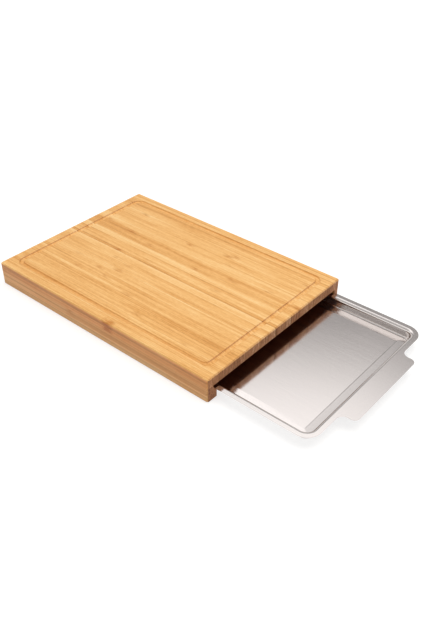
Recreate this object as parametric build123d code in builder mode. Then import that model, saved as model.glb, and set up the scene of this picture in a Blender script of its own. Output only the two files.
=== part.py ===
"""A bamboo cutting board with a pressed steel tray that draws out from under it.

The board is a panel of upright bamboo strips glued edge to edge, with a juice groove
routed round its top. Two side rails and a back rail, each glued up from two layers,
stand it off the table. A slot under the panel, along the inside of each side rail,
carries the flange of the tray.

Millimetres, +Z up. +X is the way the tray draws out. The origin is on the table, under
the middle of the whole object with the tray drawn out as far as tray_out says.
"""
import os

from build123d import *

# ---------------------------------------------------------------- the board
board_length = 420.0
board_width = 300.0
corner_radius = 3.0        # the board's four upright corners
top_edge_ease = 1.5        # planed off round the top of the board
foot_edge_ease = 1.2       # planed off round the bottom of the rails

# ---------------------------------------------------------------- the panel of strips
panel_thick = 15.0
strip_count = 47           # the narrow strips between the two edge strips
edge_strip_width = 9.0

# ---------------------------------------------------------------- the juice groove
groove_inset = 15.5        # from the board's side to the groove's near edge
groove_width = 8.0
groove_depth = 2.3
groove_bend = 13.0         # corner radius, along the middle of the groove

# ---------------------------------------------------------------- the rails
rail_width = 17.5
lower_layer = 11.0
upper_layer = 12.0
slot_reach = 6.5           # how far the slot is cut into a side rail
slot_height = 4.6

# ---------------------------------------------------------------- the tray
sheet = 0.8
slot_side_gap = 0.8        # beside the flange, each side
slot_under_gap = 0.2       # under the flange
tray_depth = 13.5          # from the flange's top to the lowest part of the floor
flange_width = 11.2        # from the wall's inner face to the flange's edge
mouth_bend = 5.0           # where the flange turns down into the wall, on the inside
wall_corner = 11.0         # plan radius of the tray's inner corners
wall_draft = 2.0           # degrees
foot_bend = 2.0            # where the wall turns into the floor, on the inside
tray_out = 150.0           # how far the tray is drawn out in the rest pose
front_recess = 2.0         # from the board's end to the flange when the tray is home
back_gap = 2.0             # from the back rail to the flange when the tray is home

# ---------------------------------------------------------------- the handle tab
tab_reach = 22.0
tab_width = 149.0
tab_root_radius = 10.0
tab_tip_radius = 8.0

# ---------------------------------------------------------------- the pressed floor
channel_inset = 3.0        # from the wall to the foot of the border's slope
border_width = 11.0        # the slope from the channel up to the panel's edge
border_rise = 0.9
border_corner = 8.0
step_rise = 0.5            # a second, short lift round the panel
step_end_run = 0.8         # steep across the ends
step_side_run = 4.0        # gentle along the sides
step_corner = 0.5

# ---------------------------------------------------------------- worked out from the above
rail_height = lower_layer + upper_layer
board_height = rail_height + panel_thick
strip_width = (board_width - 2 * edge_strip_width) / strip_count
bay_half = board_width / 2 - rail_width
slot_half = bay_half + slot_reach
ledge = rail_height - slot_height
flange_top = ledge + slot_under_gap + sheet
tray_floor = flange_top - tray_depth
tray_width = 2 * (slot_half - slot_side_gap)
tray_length = board_length - front_recess - rail_width - back_gap

# the whole object reaches past the board's end by this much, which moves the board's
# middle back from the origin by half of it
reach = tray_out - front_recess + tab_reach
board_x = -reach / 2
board_back = board_x - board_length / 2
board_front = board_x + board_length / 2
tray_front = board_front - front_recess + tray_out
tray_x = tray_front - tray_length / 2
inner_length = tray_length - 2 * flange_width
inner_width = tray_width - 2 * flange_width

# from below, each bend of the tray is one flat, drawn near enough to the round that it
# stands for to leave the sheet whole
under_flange_flat = (mouth_bend - sheet) * 2 / 3
under_foot_flat = (foot_bend + sheet) / 2
cutter_radius = (groove_width ** 2 / 4 + groove_depth ** 2) / (2 * groove_depth)
cutter_height = board_height - groove_depth + cutter_radius

os.makedirs("parts", exist_ok=True)


def save(piece, name):
    """Label a finished piece and write its file."""
    piece.part.label = name
    export_step(piece.part, f"parts/{name}.step")


def near(value, target):
    return abs(value - target) < 0.01


# ---------------------------------------------------------------- the groove's cutter path
# A round-nosed cutter runs once round the board. Its path is a rectangle with rounded
# corners, and what it sweeps is taken out of every strip that it crosses.
groove_middle = groove_inset + groove_width / 2
path_x = board_length / 2 - groove_middle
path_y = board_width / 2 - groove_middle

with BuildPart() as groove:
    with BuildLine(Plane.XY.offset(cutter_height)) as cutter_path:
        FilletPolyline(
            (board_x - path_x, -path_y),
            (board_x + path_x, -path_y),
            (board_x + path_x, path_y),
            (board_x - path_x, path_y),
            radius=groove_bend,
            close=True,
        )
    with BuildSketch(Plane(origin=cutter_path.line @ 0, z_dir=cutter_path.line % 0)):
        Circle(cutter_radius)
    sweep()


def strip(y_low, width):
    """One strip of the panel, with the board's top edge eased at its two ends."""
    with BuildPart() as piece:
        with BuildSketch(Plane.XY.offset(rail_height)):
            with Locations((board_x, y_low + width / 2)):
                Rectangle(board_length, width)
        extrude(amount=panel_thick)
        end_edges = piece.edges().filter_by(Axis.Y).group_by(Axis.Z)[-1]
        chamfer(end_edges, top_edge_ease)
        add(groove.part, mode=Mode.SUBTRACT)
    return piece


def edge_strip(side):
    """The wider strip along one side (side is -1 or 1), which also has the corners."""
    middle = side * (board_width - edge_strip_width) / 2
    outside = side * board_width / 2
    with BuildPart() as piece:
        with BuildSketch(Plane.XY.offset(rail_height)):
            with Locations((board_x, middle)):
                Rectangle(board_length, edge_strip_width)
        extrude(amount=panel_thick)
        corners = piece.edges().filter_by(Axis.Z).filter_by(
            lambda edge: near(edge.center().Y, outside))
        fillet(corners, corner_radius)
        inside = outside - side * edge_strip_width
        rim = piece.faces().sort_by(Axis.Z)[-1].edges().filter_by(
            lambda edge: not near(edge.center().Y, inside))
        chamfer(rim, top_edge_ease)
    return piece


# ---------------------------------------------------------------- the panel
save(edge_strip(-1), "edge_strip_left")
save(edge_strip(1), "edge_strip_right")
for number in range(strip_count):
    y_low = -board_width / 2 + edge_strip_width + number * strip_width
    save(strip(y_low, strip_width), f"panel_strip_{number + 1:02d}")


# ---------------------------------------------------------------- the rails
def rail_blank(side, z_low, thick):
    """A side rail's layer before its slot, with the board's upright corners."""
    outside = side * board_width / 2
    with BuildPart() as piece:
        with BuildSketch(Plane.XY.offset(z_low)):
            with Locations((board_x, outside - side * rail_width / 2)):
                Rectangle(board_length, rail_width)
        extrude(amount=thick)
        corners = piece.edges().filter_by(Axis.Z).filter_by(
            lambda edge: near(edge.center().Y, outside))
        fillet(corners, corner_radius)
    return piece


def lower_rail(side):
    """The layer that stands on the table, eased round its outer bottom edges."""
    inside = side * bay_half
    blank = rail_blank(side, 0, lower_layer)
    with BuildPart() as piece:
        add(blank.part)
        foot = piece.faces().sort_by(Axis.Z)[0].edges().filter_by(
            lambda edge: not near(edge.center().Y, inside))
        chamfer(foot, foot_edge_ease)
    return piece


def upper_rail(side):
    """The layer under the panel, with the slot that carries the tray's flange."""
    blank = rail_blank(side, lower_layer, upper_layer)
    with BuildPart() as piece:
        add(blank.part)
        with BuildSketch(Plane.XY.offset(ledge)):
            with Locations((board_x, side * (bay_half + slot_reach / 2))):
                Rectangle(board_length, slot_reach)
        extrude(amount=slot_height, mode=Mode.SUBTRACT)
    return piece


for side, name in ((-1, "left"), (1, "right")):
    save(lower_rail(side), f"side_rail_lower_{name}")
    save(upper_rail(side), f"side_rail_upper_{name}")

# The back rail fits between the side rails. Its upper layer has an ear at each end that
# stops the slot.
with BuildPart() as back_rail_lower:
    with BuildSketch(Plane.XY):
        with Locations((board_back + rail_width / 2, 0)):
            Rectangle(rail_width, 2 * bay_half)
    extrude(amount=lower_layer)
    back_foot = back_rail_lower.edges().filter_by(Axis.Y).group_by(Axis.Z)[0].sort_by(Axis.X)[0]
    chamfer(back_foot, foot_edge_ease)
save(back_rail_lower, "back_rail_lower")

with BuildPart() as back_rail_upper:
    with BuildSketch(Plane.XY.offset(lower_layer)):
        with Locations((board_back + rail_width / 2, 0)):
            Rectangle(rail_width, 2 * bay_half)
    extrude(amount=upper_layer)
    with BuildSketch(Plane.XY.offset(ledge)):
        with Locations((board_back + rail_width / 2, 0)):
            Rectangle(rail_width, 2 * slot_half)
    extrude(amount=slot_height)
save(back_rail_upper, "back_rail_upper")

# ---------------------------------------------------------------- the tray
# One sheet, pressed: a flat flange with the handle tab, a bend down into the walls, a
# bend into the floor, and a floor that rises gently to a flat panel, so that juice runs
# to the sides. Every face is followed by the one below it at the sheet's thickness. From
# below, a flat stands for the round of each bend.
with BuildPart() as tray:
    with BuildSketch(Plane.XY.offset(flange_top)) as flange:
        with Locations((tray_x, 0)):
            Rectangle(tray_length, tray_width)
        fillet(flange.vertices(), wall_corner + flange_width)
        with Locations((tray_front, 0)):
            Rectangle(2 * tab_reach, tab_width)
        tab_tips = flange.vertices().group_by(Axis.X)[-1]
        fillet(tab_tips, tab_tip_radius)
        tab_roots = flange.vertices().filter_by(
            lambda v: near(v.X, tray_front) and near(abs(v.Y), tab_width / 2))
        fillet(tab_roots, tab_root_radius)
    extrude(amount=-sheet)

    with BuildSketch(Plane.XY.offset(flange_top)):
        with Locations((tray_x, 0)):
            RectangleRounded(inner_length + 2 * sheet, inner_width + 2 * sheet,
                             wall_corner + sheet)
    extrude(amount=-(tray_depth + sheet), taper=wall_draft)
    outer_foot = tray.faces().sort_by(Axis.Z)[0].edges()
    chamfer(outer_foot, under_foot_flat)
    under_flange = tray.edges().filter_by(
        lambda edge: near(edge.center().Z, flange_top - sheet)
        and abs(edge.center().Y) < inner_width / 2 + 2 * sheet
        and abs(edge.center().X - tray_x) < inner_length / 2 + 2 * sheet)
    chamfer(under_flange, under_flange_flat)

    with BuildSketch(Plane.XY.offset(flange_top)):
        with Locations((tray_x, 0)):
            RectangleRounded(inner_length, inner_width, wall_corner)
    extrude(amount=-tray_depth, taper=wall_draft, mode=Mode.SUBTRACT)
    inner_foot = tray.edges().filter_by(lambda edge: near(edge.center().Z, tray_floor))
    fillet(inner_foot, foot_bend)
    mouth = tray.edges().filter_by(
        lambda edge: near(edge.center().Z, flange_top)
        and abs(edge.center().Y) < inner_width / 2 + sheet
        and abs(edge.center().X - tray_x) < inner_length / 2 + sheet)
    fillet(mouth, mouth_bend)

    slope_length = inner_length - 2 * channel_inset
    slope_width = inner_width - 2 * channel_inset
    panel_length = slope_length - 2 * border_width
    panel_width = slope_width - 2 * border_width
    for level, mode in ((tray_floor, Mode.ADD), (tray_floor - sheet, Mode.SUBTRACT)):
        with BuildSketch(Plane.XY.offset(level)):
            with Locations((tray_x, 0)):
                RectangleRounded(slope_length, slope_width, border_corner)
        with BuildSketch(Plane.XY.offset(level + border_rise)):
            with Locations((tray_x, 0)):
                RectangleRounded(panel_length, panel_width, step_corner)
        loft(mode=mode)
        with BuildSketch(Plane.XY.offset(level + border_rise)):
            with Locations((tray_x, 0)):
                RectangleRounded(panel_length, panel_width, step_corner)
        with BuildSketch(Plane.XY.offset(level + border_rise + step_rise)):
            with Locations((tray_x, 0)):
                RectangleRounded(panel_length - 2 * step_end_run,
                                 panel_width - 2 * step_side_run, step_corner)
        loft(mode=mode)
save(tray, "tray")
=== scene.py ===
"""The finish, light and view of a bamboo cutting board with a pressed steel tray under it.

Metres, in the frame of the part: +X is the way the tray draws out, +Z is up, and the
table is at z = 0. Every piece of the object comes from the frame, and gets its finish here.
"""
import random

import bpy
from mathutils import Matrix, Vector


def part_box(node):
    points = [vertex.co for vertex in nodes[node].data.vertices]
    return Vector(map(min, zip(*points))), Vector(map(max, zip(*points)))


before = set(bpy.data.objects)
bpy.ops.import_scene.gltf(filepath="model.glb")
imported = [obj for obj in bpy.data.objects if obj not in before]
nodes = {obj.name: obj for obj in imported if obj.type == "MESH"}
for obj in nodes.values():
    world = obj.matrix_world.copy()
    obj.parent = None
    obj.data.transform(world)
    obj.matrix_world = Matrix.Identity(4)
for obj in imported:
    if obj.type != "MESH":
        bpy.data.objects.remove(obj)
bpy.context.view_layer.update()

MM = 0.001


def linear(hex_colour):
    """An sRGB hex colour as the linear RGBA that a shader takes."""
    channels = [int(hex_colour[i:i + 2], 16) / 255 for i in (1, 3, 5)]
    return [c / 12.92 if c <= 0.04045 else ((c + 0.055) / 1.055) ** 2.4 for c in channels] + [1]


def add(tree, kind, inputs=None, **settings):
    """Add a shader node. settings are its own options, inputs are values or sockets to link."""
    made = tree.nodes.new("ShaderNode" + kind)
    for key, value in settings.items():
        setattr(made, key, value)
    for key, value in (inputs or {}).items():
        if isinstance(value, bpy.types.NodeSocket):
            tree.links.new(value, made.inputs[key])
        else:
            made.inputs[key].default_value = value
    return made


def new_material(name):
    """An empty material, with its tree, its surface shader and the piece's own coordinates."""
    material = bpy.data.materials.new(name)
    material.use_nodes = True
    tree = material.node_tree
    return material, tree, tree.nodes["Principled BSDF"], add(tree, "TexCoord").outputs["Object"]


def set_stops(ramp, stops):
    """Give a colour ramp its stops, as (position, hex colour)."""
    stop_list = ramp.color_ramp.elements
    while len(stop_list) < len(stops):
        stop_list.new(0.5)
    for stop, (position, hex_colour) in zip(stop_list, stops):
        stop.position = position
        stop.color = linear(hex_colour)


# ---------------------------------------------------------------- bamboo
# The board is laminated from carbonised bamboo strips, planed, sanded and oiled. Sanding
# leaves a silky, nearly matt face with fine straight fibres, and each strip keeps the tone
# of the cane that it was split from. Sawn across, the fibre bundles show as dark flecks.
STRIP_TONES = [
    (0.0, "#C4833D"),
    (0.3, "#E2A255"),
    (0.5, "#EFB46A"),
    (0.72, "#F9C47D"),
    (1.0, "#FFD698"),
]
END_TONES = [
    (0.0, "#6E3F28"),
    (0.35, "#B3764D"),
    (0.7, "#D8996D"),
    (1.0, "#F5C89E"),
]
SPLIT_TINT = "#F4DED6"      # the panel's sides, split along the cane, are redder than its top
RAIL_TINT = "#F8F0F1"       # the rails' sides show the flat of the cane
GROOVE_SHADE_AND_BURNISH_TINT = "#E2D2AE"        # painted shade on the groove's steep walls, with some burnish from the cutter
UNDERSIDE_SHADE_TINT = "#8C6248"      # painted shade on every downward face, darker than the wood itself is
KNUCKLE_TINT = "#DCC094"
GLUE_TINT = "#C09468"

# The grain, layer by layer: how wide and how long a mark is, how much finer detail it has,
# and how far it shifts the tone. Real fibres are 0.2 to 0.4 mm wide, too fine for the
# picture, so they are drawn at 1.1 mm.
GRAIN = {
    "fibres": (1.1 * MM, 75 * MM, 3, 0.75),
    "streaks": (2.6 * MM, 420 * MM, 2, 1.0),
    "clouds": (18 * MM, 90 * MM, 1, 0.60),
    "flecks": (1.2 * MM, 6 * MM, 1, 0.55),
}
GRAIN_MIDDLE = 0.5                   # what the grain's noise gives on average
FIBRE_SPREAD = (0.30, 0.70)          # the noise values that most fibres lie between
STREAK_SPREAD = (0.36, 0.64)
SIDE_STREAKS = (0.86, 1.10)          # how much streaks darken and lighten a split side

# The cane has a knuckle about every 330 mm, which leaves a ragged smudge 26 mm long.
KNUCKLE_PITCH = 330 * MM
KNUCKLE_HALF = 13 * MM
SMUDGE_WIDE, SMUDGE_LONG = 3.5 * MM, 12 * MM
SMUDGE_SPREAD = (0.35, 0.60)
SMUDGE_FAINTEST = 0.15

# A real glue line is about 0.1 mm wide, and is drawn wider so that it shows.
GLUE_HALF = 0.35 * MM

# Real fibre bundles are 0.3 to 0.6 mm across, and are drawn at 0.9 mm so that they show.
BUNDLE_WIDE, BUNDLE_HIGH = 0.9 * MM, 2.4 * MM
BAR_WIDE, BAR_HIGH = 1.6 * MM, 14 * MM
SKIN_WEIGHT, BUNDLE_WEIGHT, BAR_WEIGHT = 0.12, 0.55, 1.1
SAWN_SPREAD = (0.9, 1.9)

# How far a face looks up where each finish, or the painted shade of the groove and the underside,
# begins and where it is whole, and for a sawn end, how far it looks along the board.
GROOVE_WALL = (0.86, 0.55)
SIDE_FACE = (0.60, 0.20)
UNDERSIDE = (-0.60, -0.90)
END_FACE = (0.60, 0.90)
RIM = 10 * MM                        # nothing within this of the board's ends is groove

PLANED_ROUGHNESS = (0.40, 0.52)
SAWN_ROUGHNESS = 0.68
FIBRE_RELIEF, FIBRE_RELIEF_STRENGTH = 0.12 * MM, 0.35
BAMBOO_IOR = 1.5

# What a bamboo piece says about its own cane, for the finish to read.
CANE_VALUES = (
    "tone",      # how pale its planed faces are
    "sawn",      # how pale its sawn ends are
    "phase",     # where its grain starts, so that no two pieces are alike
    "middle",    # the Y of its middle
    "half",      # half its width
    "joint",     # how plainly its glue lines show
    "knuckle",   # how plainly its knuckles show
    "split",     # how far its sides are split, not sanded
)

board_low, board_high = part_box("edge_strip_left")
BOARD_MIDDLE = (board_low[0] + board_high[0]) / 2
BOARD_HALF = (board_high[0] - board_low[0]) / 2


def grain_layers(tree, place, own):
    """The layers of the grain by name, all drawn out along the strip."""
    layers = {}
    for name, (wide, long, detail, _) in GRAIN.items():
        drawn = add(tree, "Mapping", {"Vector": place, "Scale": (1 / long, 1 / wide, 1 / wide)})
        noise = add(
            tree, "TexNoise",
            {"Vector": drawn.outputs[0], "W": own["phase"], "Scale": 1, "Detail": detail},
            noise_dimensions="4D",
        )
        layers[name] = noise.outputs["Fac"]
    return layers


def planed_face(tree, own, layers):
    """The colour of a planed face: the strip's own tone, shifted by each layer of grain."""
    tone = own["tone"]
    for name, (_, _, _, weight) in GRAIN.items():
        shift = add(tree, "Math", {0: layers[name], 1: GRAIN_MIDDLE}, operation="SUBTRACT")
        tone = add(
            tree, "Math", {0: shift.outputs[0], 1: weight, 2: tone}, operation="MULTIPLY_ADD"
        ).outputs[0]
    face = add(tree, "ValToRGB", {0: tone})
    set_stops(face, STRIP_TONES)
    return face.outputs[0]


def mark_knuckles(tree, place, along, own, face):
    """A smudge across the strip where the cane had a knuckle, smeared along the grain."""
    turn = add(
        tree, "Math", {0: along, 1: 1 / KNUCKLE_PITCH, 2: own["phase"]},
        operation="MULTIPLY_ADD",
    )
    part_turn = add(tree, "Math", {0: turn.outputs[0]}, operation="FRACT")
    from_knuckle = add(tree, "Math", {0: part_turn.outputs[0], 1: 0.5}, operation="SUBTRACT")
    apart = add(tree, "Math", {0: from_knuckle.outputs[0]}, operation="ABSOLUTE")
    near_knuckle = add(
        tree, "MapRange",
        {"Value": apart.outputs[0], "From Min": KNUCKLE_HALF / KNUCKLE_PITCH, "From Max": 0,
         "To Min": 0, "To Max": 1},
    )
    smeared = add(
        tree, "Mapping",
        {"Vector": place, "Scale": (1 / SMUDGE_LONG, 1 / SMUDGE_WIDE, 1 / SMUDGE_WIDE)},
    )
    smudge = add(
        tree, "TexNoise",
        {"Vector": smeared.outputs[0], "W": own["phase"], "Scale": 1, "Detail": 2},
        noise_dimensions="4D",
    )
    stained = add(
        tree, "MapRange",
        {"Value": smudge.outputs["Fac"], "From Min": SMUDGE_SPREAD[0],
         "From Max": SMUDGE_SPREAD[1], "To Min": SMUDGE_FAINTEST},
    )
    ragged = add(
        tree, "Math", {0: near_knuckle.outputs[0], 1: stained.outputs[0]}, operation="MULTIPLY"
    )
    knuckle = add(tree, "Math", {0: ragged.outputs[0], 1: own["knuckle"]}, operation="MULTIPLY")
    return add(
        tree, "Mix", {0: knuckle.outputs[0], "A": face, "B": linear(KNUCKLE_TINT)},
        data_type="RGBA", blend_type="MULTIPLY",
    ).outputs["Result"]


def mark_glue_lines(tree, off_middle, own, face):
    """The glue line that shows along both long edges of a strip."""
    across = add(tree, "Math", {0: off_middle}, operation="ABSOLUTE")
    to_edge = add(tree, "Math", {0: own["half"], 1: across.outputs[0]}, operation="SUBTRACT")
    at_edge = add(
        tree, "MapRange",
        {"Value": to_edge.outputs[0], "From Min": GLUE_HALF, "From Max": 0, "To Max": 1},
    )
    glue = add(tree, "Math", {0: at_edge.outputs[0], 1: own["joint"]}, operation="MULTIPLY")
    return add(
        tree, "Mix", {0: glue.outputs[0], "A": face, "B": linear(GLUE_TINT)},
        data_type="RGBA", blend_type="MULTIPLY",
    ).outputs["Result"]


def work_faces(tree, along, upward, own, streaks, face):
    """What each face gets: the split sides, painted shade with some burnish on the groove's walls,
    and painted shade on the underside.
    """
    steep, is_side, under_shade = (
        add(
            tree, "MapRange", {"Value": upward, "From Min": begins, "From Max": whole, "To Max": 1}
        ).outputs[0]
        for begins, whole in (GROOVE_WALL, SIDE_FACE, UNDERSIDE)
    )
    from_centre = add(tree, "Math", {0: along, 1: BOARD_MIDDLE}, operation="SUBTRACT")
    apart = add(tree, "Math", {0: from_centre.outputs[0]}, operation="ABSOLUTE")
    off_rim = add(
        tree, "Math", {0: apart.outputs[0], 1: BOARD_HALF - RIM}, operation="LESS_THAN"
    )
    cut = add(tree, "Math", {0: steep, 1: is_side}, operation="SUBTRACT")
    groove_shade = add(tree, "Math", {0: cut.outputs[0], 1: off_rim.outputs[0]}, operation="MULTIPLY")

    side_tint = add(
        tree, "Mix", {0: own["split"], "A": linear(RAIL_TINT), "B": linear(SPLIT_TINT)},
        data_type="RGBA",
    )
    # Streaks stand out more on the sides, where the cane was split and not sanded as finely.
    side_streaks = add(
        tree, "MapRange",
        {"Value": streaks, "From Min": STREAK_SPREAD[0], "From Max": STREAK_SPREAD[1],
         "To Min": SIDE_STREAKS[0], "To Max": SIDE_STREAKS[1]},
    )
    for mask, tint in (
        (is_side, side_tint.outputs["Result"]),
        (is_side, side_streaks.outputs[0]),
        # The groove's steep walls get painted shade, with some burnish from the cutter.
        (groove_shade.outputs[0], linear(GROOVE_SHADE_AND_BURNISH_TINT)),
        # Every downward face gets painted shade.
        (under_shade, linear(UNDERSIDE_SHADE_TINT)),
    ):
        face = add(
            tree, "Mix", {0: mask, "A": face, "B": tint}, data_type="RGBA", blend_type="MULTIPLY"
        ).outputs["Result"]
    return face


def sawn_end(tree, place, off_middle, own):
    """The colour of a sawn end, and its fibre bundles for the relief."""
    flecked = add(
        tree, "Mapping", {"Vector": place, "Scale": (0, 1 / BUNDLE_WIDE, 1 / BUNDLE_HIGH)}
    )
    bundles = add(
        tree, "TexVoronoi", {"Vector": flecked.outputs[0], "Scale": 1, "W": own["phase"]},
        voronoi_dimensions="4D",
    ).outputs["Distance"]
    barred = add(tree, "Mapping", {"Vector": place, "Scale": (0, 1 / BAR_WIDE, 1 / BAR_HIGH)})
    bars = add(
        tree, "TexNoise", {"Vector": barred.outputs[0], "W": own["phase"], "Scale": 1},
        noise_dimensions="4D",
    ).outputs["Fac"]
    # The cane's wall is closer and darker on one side of a strip than on the other.
    skin_side = add(tree, "Math", {0: off_middle, 1: own["half"]}, operation="DIVIDE").outputs[0]
    tone = own["sawn"]
    for shade, weight in (
        (skin_side, SKIN_WEIGHT), (bundles, BUNDLE_WEIGHT), (bars, BAR_WEIGHT)
    ):
        tone = add(
            tree, "Math", {0: shade, 1: weight, 2: tone}, operation="MULTIPLY_ADD"
        ).outputs[0]
    spread = add(
        tree, "MapRange", {"Value": tone, "From Min": SAWN_SPREAD[0], "From Max": SAWN_SPREAD[1]}
    )
    sawn = add(tree, "ValToRGB", {0: spread.outputs[0]})
    set_stops(sawn, END_TONES)
    return sawn.outputs[0], bundles


def bamboo():
    """Oiled bamboo, planed on its faces and sawn on its ends."""
    material, tree, surface, place = new_material("oiled_bamboo")
    own = {
        name: add(tree, "Attribute", attribute_type="OBJECT", attribute_name=name).outputs["Fac"]
        for name in CANE_VALUES
    }
    at = add(tree, "SeparateXYZ", {0: place}).outputs
    facing = add(tree, "SeparateXYZ", {0: add(tree, "NewGeometry").outputs["Normal"]}).outputs
    off_middle = add(
        tree, "Math", {0: at["Y"], 1: own["middle"]}, operation="SUBTRACT"
    ).outputs[0]
    layers = grain_layers(tree, place, own)

    face = planed_face(tree, own, layers)
    face = mark_knuckles(tree, place, at["X"], own, face)
    face = mark_glue_lines(tree, off_middle, own, face)
    face = work_faces(tree, at["X"], facing["Z"], own, layers["streaks"], face)
    sawn, bundles = sawn_end(tree, place, off_middle, own)

    end_on = add(tree, "Math", {0: facing["X"]}, operation="ABSOLUTE")
    is_end = add(
        tree, "MapRange",
        {"Value": end_on.outputs[0], "From Min": END_FACE[0], "From Max": END_FACE[1], "To Max": 1},
    ).outputs[0]
    colour = add(tree, "Mix", {0: is_end, "A": face, "B": sawn}, data_type="RGBA")
    tree.links.new(colour.outputs["Result"], surface.inputs["Base Color"])

    # The sawn ends drink the oil and stay duller than the planed faces.
    planed = add(
        tree, "MapRange",
        {"Value": layers["fibres"], "From Min": FIBRE_SPREAD[0], "From Max": FIBRE_SPREAD[1],
         "To Min": PLANED_ROUGHNESS[0], "To Max": PLANED_ROUGHNESS[1]},
    )
    roughness = add(
        tree, "Mix", {0: is_end, "A": planed.outputs[0], "B": SAWN_ROUGHNESS}, data_type="FLOAT"
    )
    tree.links.new(roughness.outputs["Result"], surface.inputs["Roughness"])
    relief = add(tree, "Mix", {0: is_end, "A": layers["fibres"], "B": bundles}, data_type="FLOAT")
    bump = add(
        tree, "Bump",
        {"Height": relief.outputs["Result"], "Strength": FIBRE_RELIEF_STRENGTH,
         "Distance": FIBRE_RELIEF},
    )
    tree.links.new(bump.outputs[0], surface.inputs["Normal"])
    surface.inputs["IOR"].default_value = BAMBOO_IOR
    return material


# ---------------------------------------------------------------- stainless steel
# The tray is pressed from cold-rolled 18/8 stainless sheet with a brushed finish. The
# brushing blurs what it reflects and leaves hair-fine lines along the tray.
STEEL_COLOUR = "#DDD8D6"
BRUSH_WIDE, BRUSH_LONG = 0.5 * MM, 45 * MM   # real lines are under 0.1 mm, too fine to show
GRAIN_SIZE = 1.9 * MM                        # the mottle of rolled sheet, drawn coarse to show
BRUSH_SPREAD = (0.35, 0.65)                  # the noise values that most brushing lies between
STEEL_ROUGHNESS = (0.12, 0.18)
STEEL_SHADES = (0.94, 1.04)
BRUSH_RELIEF, BRUSH_RELIEF_STRENGTH = 0.02 * MM, 0.15


def steel():
    """Brushed stainless steel."""
    material, tree, surface, place = new_material("brushed_stainless")
    lines_at = add(
        tree, "Mapping",
        {"Vector": place, "Scale": (1 / BRUSH_LONG, 1 / BRUSH_WIDE, 1 / BRUSH_WIDE)},
    )
    lines = add(tree, "TexNoise", {"Vector": lines_at.outputs[0], "Scale": 1, "Detail": 3})
    mottle = add(tree, "TexNoise", {"Vector": place, "Scale": 1 / GRAIN_SIZE, "Detail": 2})
    brushing = add(
        tree, "Mix", {0: 0.5, "A": lines.outputs["Fac"], "B": mottle.outputs["Fac"]},
        data_type="FLOAT",
    ).outputs["Result"]
    roughness, shade = (
        add(
            tree, "MapRange",
            {"Value": brushing, "From Min": BRUSH_SPREAD[0], "From Max": BRUSH_SPREAD[1],
             "To Min": least, "To Max": most},
        ).outputs[0]
        for least, most in (STEEL_ROUGHNESS, STEEL_SHADES)
    )
    tree.links.new(roughness, surface.inputs["Roughness"])
    shaded = add(
        tree, "VectorMath", {0: linear(STEEL_COLOUR)[:3], "Scale": shade}, operation="SCALE"
    )
    tree.links.new(shaded.outputs[0], surface.inputs["Base Color"])
    bump = add(
        tree, "Bump",
        {"Height": brushing, "Strength": BRUSH_RELIEF_STRENGTH, "Distance": BRUSH_RELIEF},
    )
    tree.links.new(bump.outputs[0], surface.inputs["Normal"])
    surface.inputs["Metallic"].default_value = 1
    return material


# ---------------------------------------------------------------- each piece gets its finish
# Strips are numbered from the near side. These are the ones whose cane is plainly paler or
# darker than the rest. The other strips get a tone by lot, and the rails have their own.
PALE_STRIPS = {
    14: 0.68, 16: 0.72, 21: 0.72, 22: 0.78, 27: 0.76,
    28: 0.78, 34: 0.74, 35: 0.72, 37: 0.70, 41: 0.68,
}
DARK_STRIPS = {3: 0.46, 9: 0.44, 23: 0.34, 29: 0.44, 31: 0.42, 32: 0.44, 44: 0.42}
LAYER_TONES = {"lower": 0.84, "upper": 0.74}
LAYER_SPLITS = {"lower": 0.1, "upper": 0.6}   # for the side rails; every other piece has 1
RAIL_SAWN_TONE = 0.40
DARK_JOINT_STRIPS = (4, 17, 23, 29)
DARK_JOINT, COMMON_JOINT = 0.75, 0.22
LOT_SEED = 7
TONES_OF_LOT = (0.50, 0.64)
PHASES_OF_LOT = (0, 40)
KNUCKLES_OF_LOT = (0, 0, 0.5, 0.8, 1.0)

# One knuckle shows plainly on the near side, this far from the board's middle.
KNUCKLED_PIECE = "edge_strip_left"
KNUCKLED_AT = 27 * MM
KNUCKLED_STRENGTH = 2.0
# A knuckle lies where the place in pitches, plus the phase, is a whole number and a half.
KNUCKLED_PHASE = 7.5 - (BOARD_MIDDLE + KNUCKLED_AT) / KNUCKLE_PITCH

lot = random.Random(LOT_SEED)


def finish_piece(name, finish):
    """Put one finish in every material slot of a piece."""
    slots = nodes[name].material_slots
    for slot in slots:
        slot.material = finish
    if not slots:
        nodes[name].data.materials.append(finish)


def describe_cane(name):
    """Give a bamboo piece the values of its own cane."""
    piece = nodes[name]
    low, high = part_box(name)
    layer = name.split("_")[2]
    strip = int(layer) if name.startswith("panel_strip") else 0
    tone = lot.uniform(*TONES_OF_LOT)
    tone = PALE_STRIPS.get(strip, DARK_STRIPS.get(strip, tone))
    piece["sawn"] = RAIL_SAWN_TONE if "rail" in name else tone
    piece["tone"] = LAYER_TONES.get(layer, tone)
    piece["phase"] = lot.uniform(*PHASES_OF_LOT)
    piece["middle"] = (low[1] + high[1]) / 2
    piece["half"] = (high[1] - low[1]) / 2
    piece["joint"] = DARK_JOINT if strip in DARK_JOINT_STRIPS else COMMON_JOINT
    piece["knuckle"] = lot.choice(KNUCKLES_OF_LOT)
    piece["split"] = LAYER_SPLITS[layer] if name.startswith("side_rail") else 1.0
    if name == KNUCKLED_PIECE:
        piece["phase"] = KNUCKLED_PHASE
        piece["knuckle"] = KNUCKLED_STRENGTH


bamboo_finish = bamboo()
steel_finish = steel()
for name in sorted(nodes):
    if name == "tray":
        finish_piece(name, steel_finish)
    else:
        finish_piece(name, bamboo_finish)
        describe_cane(name)


# ---------------------------------------------------------------- the table
# A white sweep. The floor carries the soft shadow, and what the eye and the steel see of it
# is lifted towards white, all the way where it is far from the object.
FLOOR_COLOUR = "#BCBCBC"
FLOOR_HALF = 6.0
FLOOR_LIFT = 0.66
SHADOW_REACH, SWEEP_REACH = 0.6, 1.8   # where the floor starts to whiten, and is all white


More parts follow.
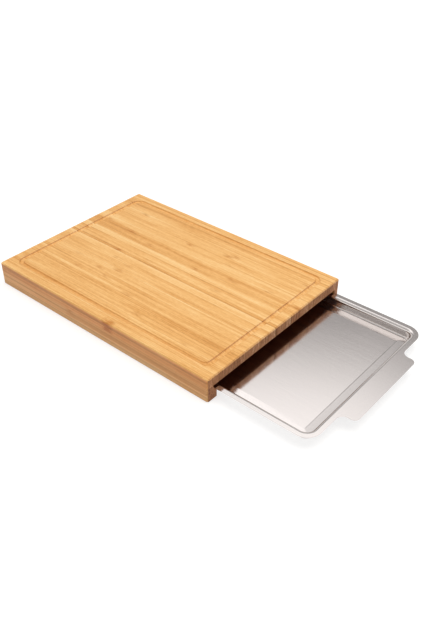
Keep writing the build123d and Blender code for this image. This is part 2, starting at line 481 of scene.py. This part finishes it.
def seen_by_eye_or_metal(tree):
    """1 for a ray from the camera or one that a mirror-like or clear surface sends on."""
    path = add(tree, "LightPath").outputs
    total = add(
        tree, "Math", {0: path["Is Camera Ray"], 1: path["Is Glossy Ray"]}, operation="MAXIMUM"
    )
    return add(
        tree, "Math", {0: total.outputs[0], 1: path["Is Transmission Ray"]}, operation="MAXIMUM"
    ).outputs[0]


def white_paper():
    """The matt white paper of the sweep."""
    material, tree, surface, place = new_material("white_paper")
    surface.inputs["Base Color"].default_value = linear(FLOOR_COLOUR)
    surface.inputs["Roughness"].default_value = 1
    surface.inputs["Specular IOR Level"].default_value = 0
    surface.inputs["Emission Color"].default_value = linear("#FFFFFF")
    from_object = add(tree, "VectorMath", {0: place}, operation="LENGTH")
    whiteness = add(
        tree, "MapRange",
        {"Value": from_object.outputs["Value"], "From Min": SHADOW_REACH,
         "From Max": SWEEP_REACH, "To Min": FLOOR_LIFT, "To Max": 1.0},
    )
    lift = add(
        tree, "Math", {0: seen_by_eye_or_metal(tree), 1: whiteness.outputs[0]},
        operation="MULTIPLY",
    )
    tree.links.new(lift.outputs[0], surface.inputs["Emission Strength"])
    return material


corners = ((-1, -1), (1, -1), (1, 1), (-1, 1))
floor_mesh = bpy.data.meshes.new("table")
floor_mesh.from_pydata([(x * FLOOR_HALF, y * FLOOR_HALF, 0) for x, y in corners], [], [(0, 1, 2, 3)])
floor_mesh.materials.append(white_paper())
floor = bpy.data.objects.new("table", floor_mesh)
bpy.context.scene.collection.objects.link(floor)

# ---------------------------------------------------------------- the room
# The room is plain and pale, and lights the wood evenly. What metal sees of it changes with
# the height of the ray, from 0 level to 1 straight up. The far wall darkens to half way up
# and is pale above that, the near wall has one light band, and the ceiling is grey.
ROOM_LEVEL = 0.42
METAL_LEVEL = 2.0
FAR_WALL = [
    (0.0, "#B5B3B1"),
    (0.42, "#A3A19F"),
    (0.53, "#737170"),
    (0.58, "#737170"),
    (0.60, "#7E7C7B"),
    (0.63, "#A4A2A1"),
    (0.66, "#C6C4C3"),
    (0.70, "#DAD8D7"),
    (0.80, "#DEDCDB"),
    (1.0, "#979594"),
]
NEAR_WALL = [
    (0.0, "#8A8886"),
    (0.39, "#A09E9C"),
    (0.45, "#E8E6E4"),
    (0.57, "#E8E6E4"),
    (0.62, "#807E7C"),
    (0.75, "#888684"),
    (1.0, "#979594"),
]
NEAR_TO_FAR = (-0.3, 0.2)      # the ray's Y where the near wall ends and the far one is whole
# One stretch of the far wall is duller. The border at the tray's end reflects it.
DULL_LEVEL = 0.56
DULL_FROM = (-0.30, -0.20)     # the ray's X where that stretch begins and is whole
DULL_UNTIL = (0.30, 0.10)      # and where it has ended, counted back to where it is whole


def light_room():
    """The world: even light for all that is matt, and the two walls for metal to reflect."""
    world = bpy.data.worlds.new("room")
    bpy.context.scene.world = world
    world.use_nodes = True
    tree = world.node_tree
    ray = add(tree, "SeparateXYZ", {0: add(tree, "TexCoord").outputs["Generated"]}).outputs
    far_wall = add(tree, "ValToRGB", {0: ray["Z"]})
    set_stops(far_wall, FAR_WALL)
    near_wall = add(tree, "ValToRGB", {0: ray["Z"]})
    set_stops(near_wall, NEAR_WALL)
    is_far, is_past_start, is_before_end = (
        add(
            tree, "MapRange",
            {"Value": ray[axis], "From Min": begins, "From Max": whole, "To Max": 1},
        ).outputs[0]
        for axis, (begins, whole) in (("Y", NEAR_TO_FAR), ("X", DULL_FROM), ("X", DULL_UNTIL))
    )
    is_dull = add(tree, "Math", {0: is_past_start, 1: is_before_end}, operation="MULTIPLY")
    level = add(
        tree, "Math", {0: is_dull.outputs[0], 1: DULL_LEVEL - 1, 2: 1}, operation="MULTIPLY_ADD"
    )
    far_side = add(
        tree, "VectorMath", {0: far_wall.outputs[0], "Scale": level.outputs[0]}, operation="SCALE"
    )
    walls = add(
        tree, "Mix", {0: is_far, "A": near_wall.outputs[0], "B": far_side.outputs[0]},
        data_type="RGBA",
    )

    path = add(tree, "LightPath").outputs
    even = add(tree, "Background", {"Color": linear("#FFFFFF"), "Strength": ROOM_LEVEL})
    shown = add(tree, "Background", {"Color": walls.outputs["Result"], "Strength": METAL_LEVEL})
    white = add(tree, "Background", {"Color": linear("#FFFFFF"), "Strength": 1})
    no_matt_bounce = add(tree, "Math", {0: path["Diffuse Depth"], 1: 0.5}, operation="LESS_THAN")
    to_metal = add(
        tree, "Math", {0: seen_by_eye_or_metal(tree), 1: no_matt_bounce.outputs[0]},
        operation="MULTIPLY",
    )
    lit = add(
        tree, "MixShader", {0: to_metal.outputs[0], 1: even.outputs[0], 2: shown.outputs[0]}
    )
    chosen = add(
        tree, "MixShader", {0: path["Is Camera Ray"], 1: lit.outputs[0], 2: white.outputs[0]}
    )
    tree.links.new(chosen.outputs[0], tree.nodes["World Output"].inputs["Surface"])


def lamp(name, place, aim, size, watts, colour):
    """A soft square lamp at place, turned towards aim."""
    light = bpy.data.lights.new(name, "AREA")
    light.size = size
    light.energy = watts
    light.color = linear(colour)[:3]
    holder = bpy.data.objects.new(name, light)
    holder.location = place
    holder.rotation_euler = (Vector(aim) - Vector(place)).to_track_quat("-Z", "Y").to_euler()
    holder.visible_glossy = False   # metal reflects the room's walls instead
    bpy.context.scene.collection.objects.link(holder)


light_room()
lamp("ceiling_lamp", place=(0.15, 0.2, 1.6), aim=(0, 0, 0), size=1.7, watts=18.4, colour="#FFFDF8")
lamp("window_lamp", place=(-0.5, -1.9, 0.9), aim=(0, 0, 0), size=1.2, watts=6.5, colour="#FFFAF2")

# ---------------------------------------------------------------- the view
CAMERA_PLACE = (0.5767, -0.6723, 0.6526)
CAMERA_AIM = (0.0058, -0.0055, 0.0)
CAMERA_LENS = 42.41   # millimetres, with the picture's long side on the sensor's width
SENSOR_WIDTH = 36
CLIP_START = 0.01

camera = bpy.data.cameras.new("camera")
camera.lens = CAMERA_LENS
camera.sensor_width = SENSOR_WIDTH
camera.clip_start = CLIP_START
camera_holder = bpy.data.objects.new("camera", camera)
camera_holder.location = CAMERA_PLACE
camera_holder.rotation_euler = (
    (Vector(CAMERA_AIM) - Vector(CAMERA_PLACE)).to_track_quat("-Z", "Y").to_euler()
)
bpy.context.scene.collection.objects.link(camera_holder)
bpy.context.scene.camera = camera_holder
bpy.context.scene.view_settings.view_transform = "Standard"
